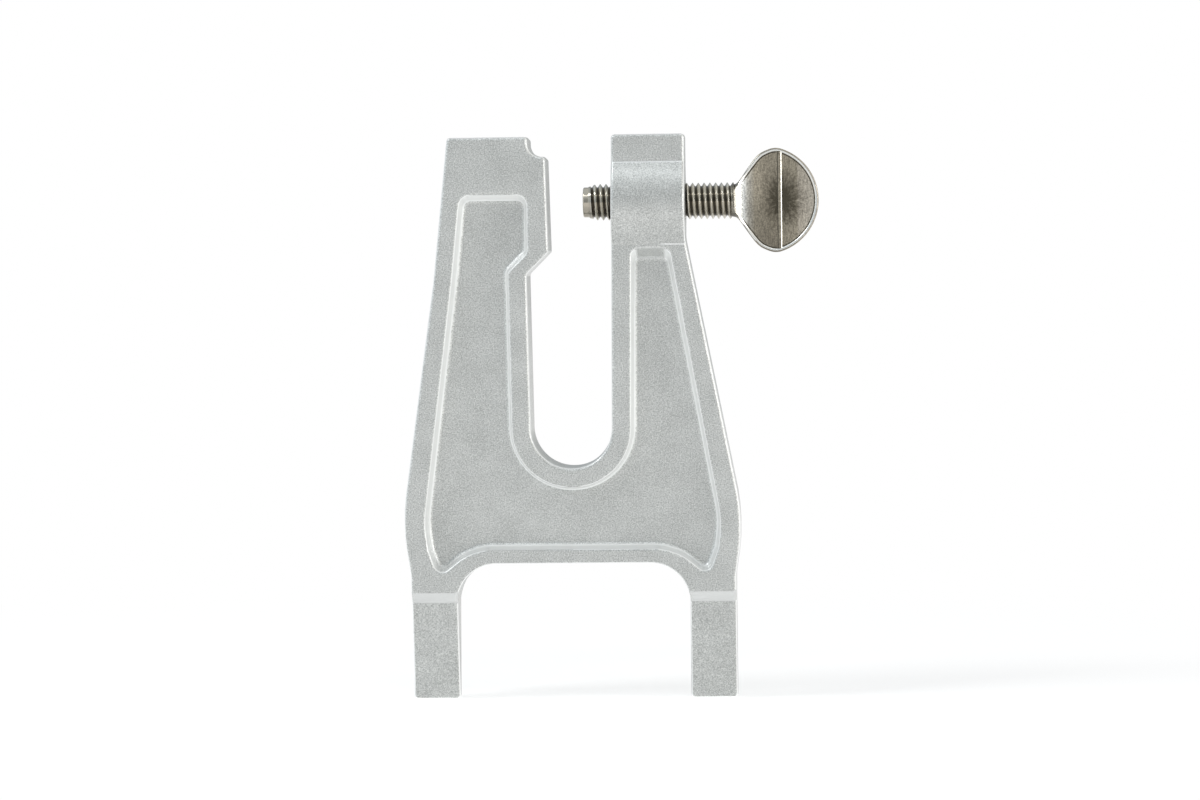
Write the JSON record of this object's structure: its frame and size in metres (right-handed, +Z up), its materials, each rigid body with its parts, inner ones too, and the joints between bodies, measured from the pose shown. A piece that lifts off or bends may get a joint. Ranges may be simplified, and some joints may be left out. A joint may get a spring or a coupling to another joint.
{
  "type": "saw vise",
  "caption": "Cast saw vise with two wedge legs to drive into a stump, a deep saw slot, a fixed jaw and a thumb screw that clamps the blade.",
  "frame": {"origin": "midway between the two leg tips, on the middle plane of the casting", "axes": "+Z up from the leg tips to the jaw, +X along the screw towards its head, +Y from the front to the back"},
  "size_m": [0.0905, 0.0184, 0.1226],
  "materials": {
    "cast_alloy": "satin",
    "screw_steel": "brushed"
  },
  "bodies": {
    "vise_frame": {"vise_frame": "cast_alloy"},
    "screw_tip": {"screw_tip": "screw_steel"},
    "thumb_screw": {"thumb_screw": "screw_steel"}
  },
  "joints": [
    {"name": "screw_advance", "type": "slide", "parent": "vise_frame", "child": "screw_tip", "axis": [-1, 0, 0], "range_m": [-0.01375, 0.00737]},
    {"name": "screw_turn", "type": "hinge", "parent": "screw_tip", "child": "thumb_screw", "pos_m": [0, 0, 0.108], "axis": [-1, 0, 0], "range_deg": [-3960, 2124]}
  ],
  "couplings": [
    {"joint": "screw_turn", "follows": "screw_advance", "rad_per_m": 5026.5}
  ]
}
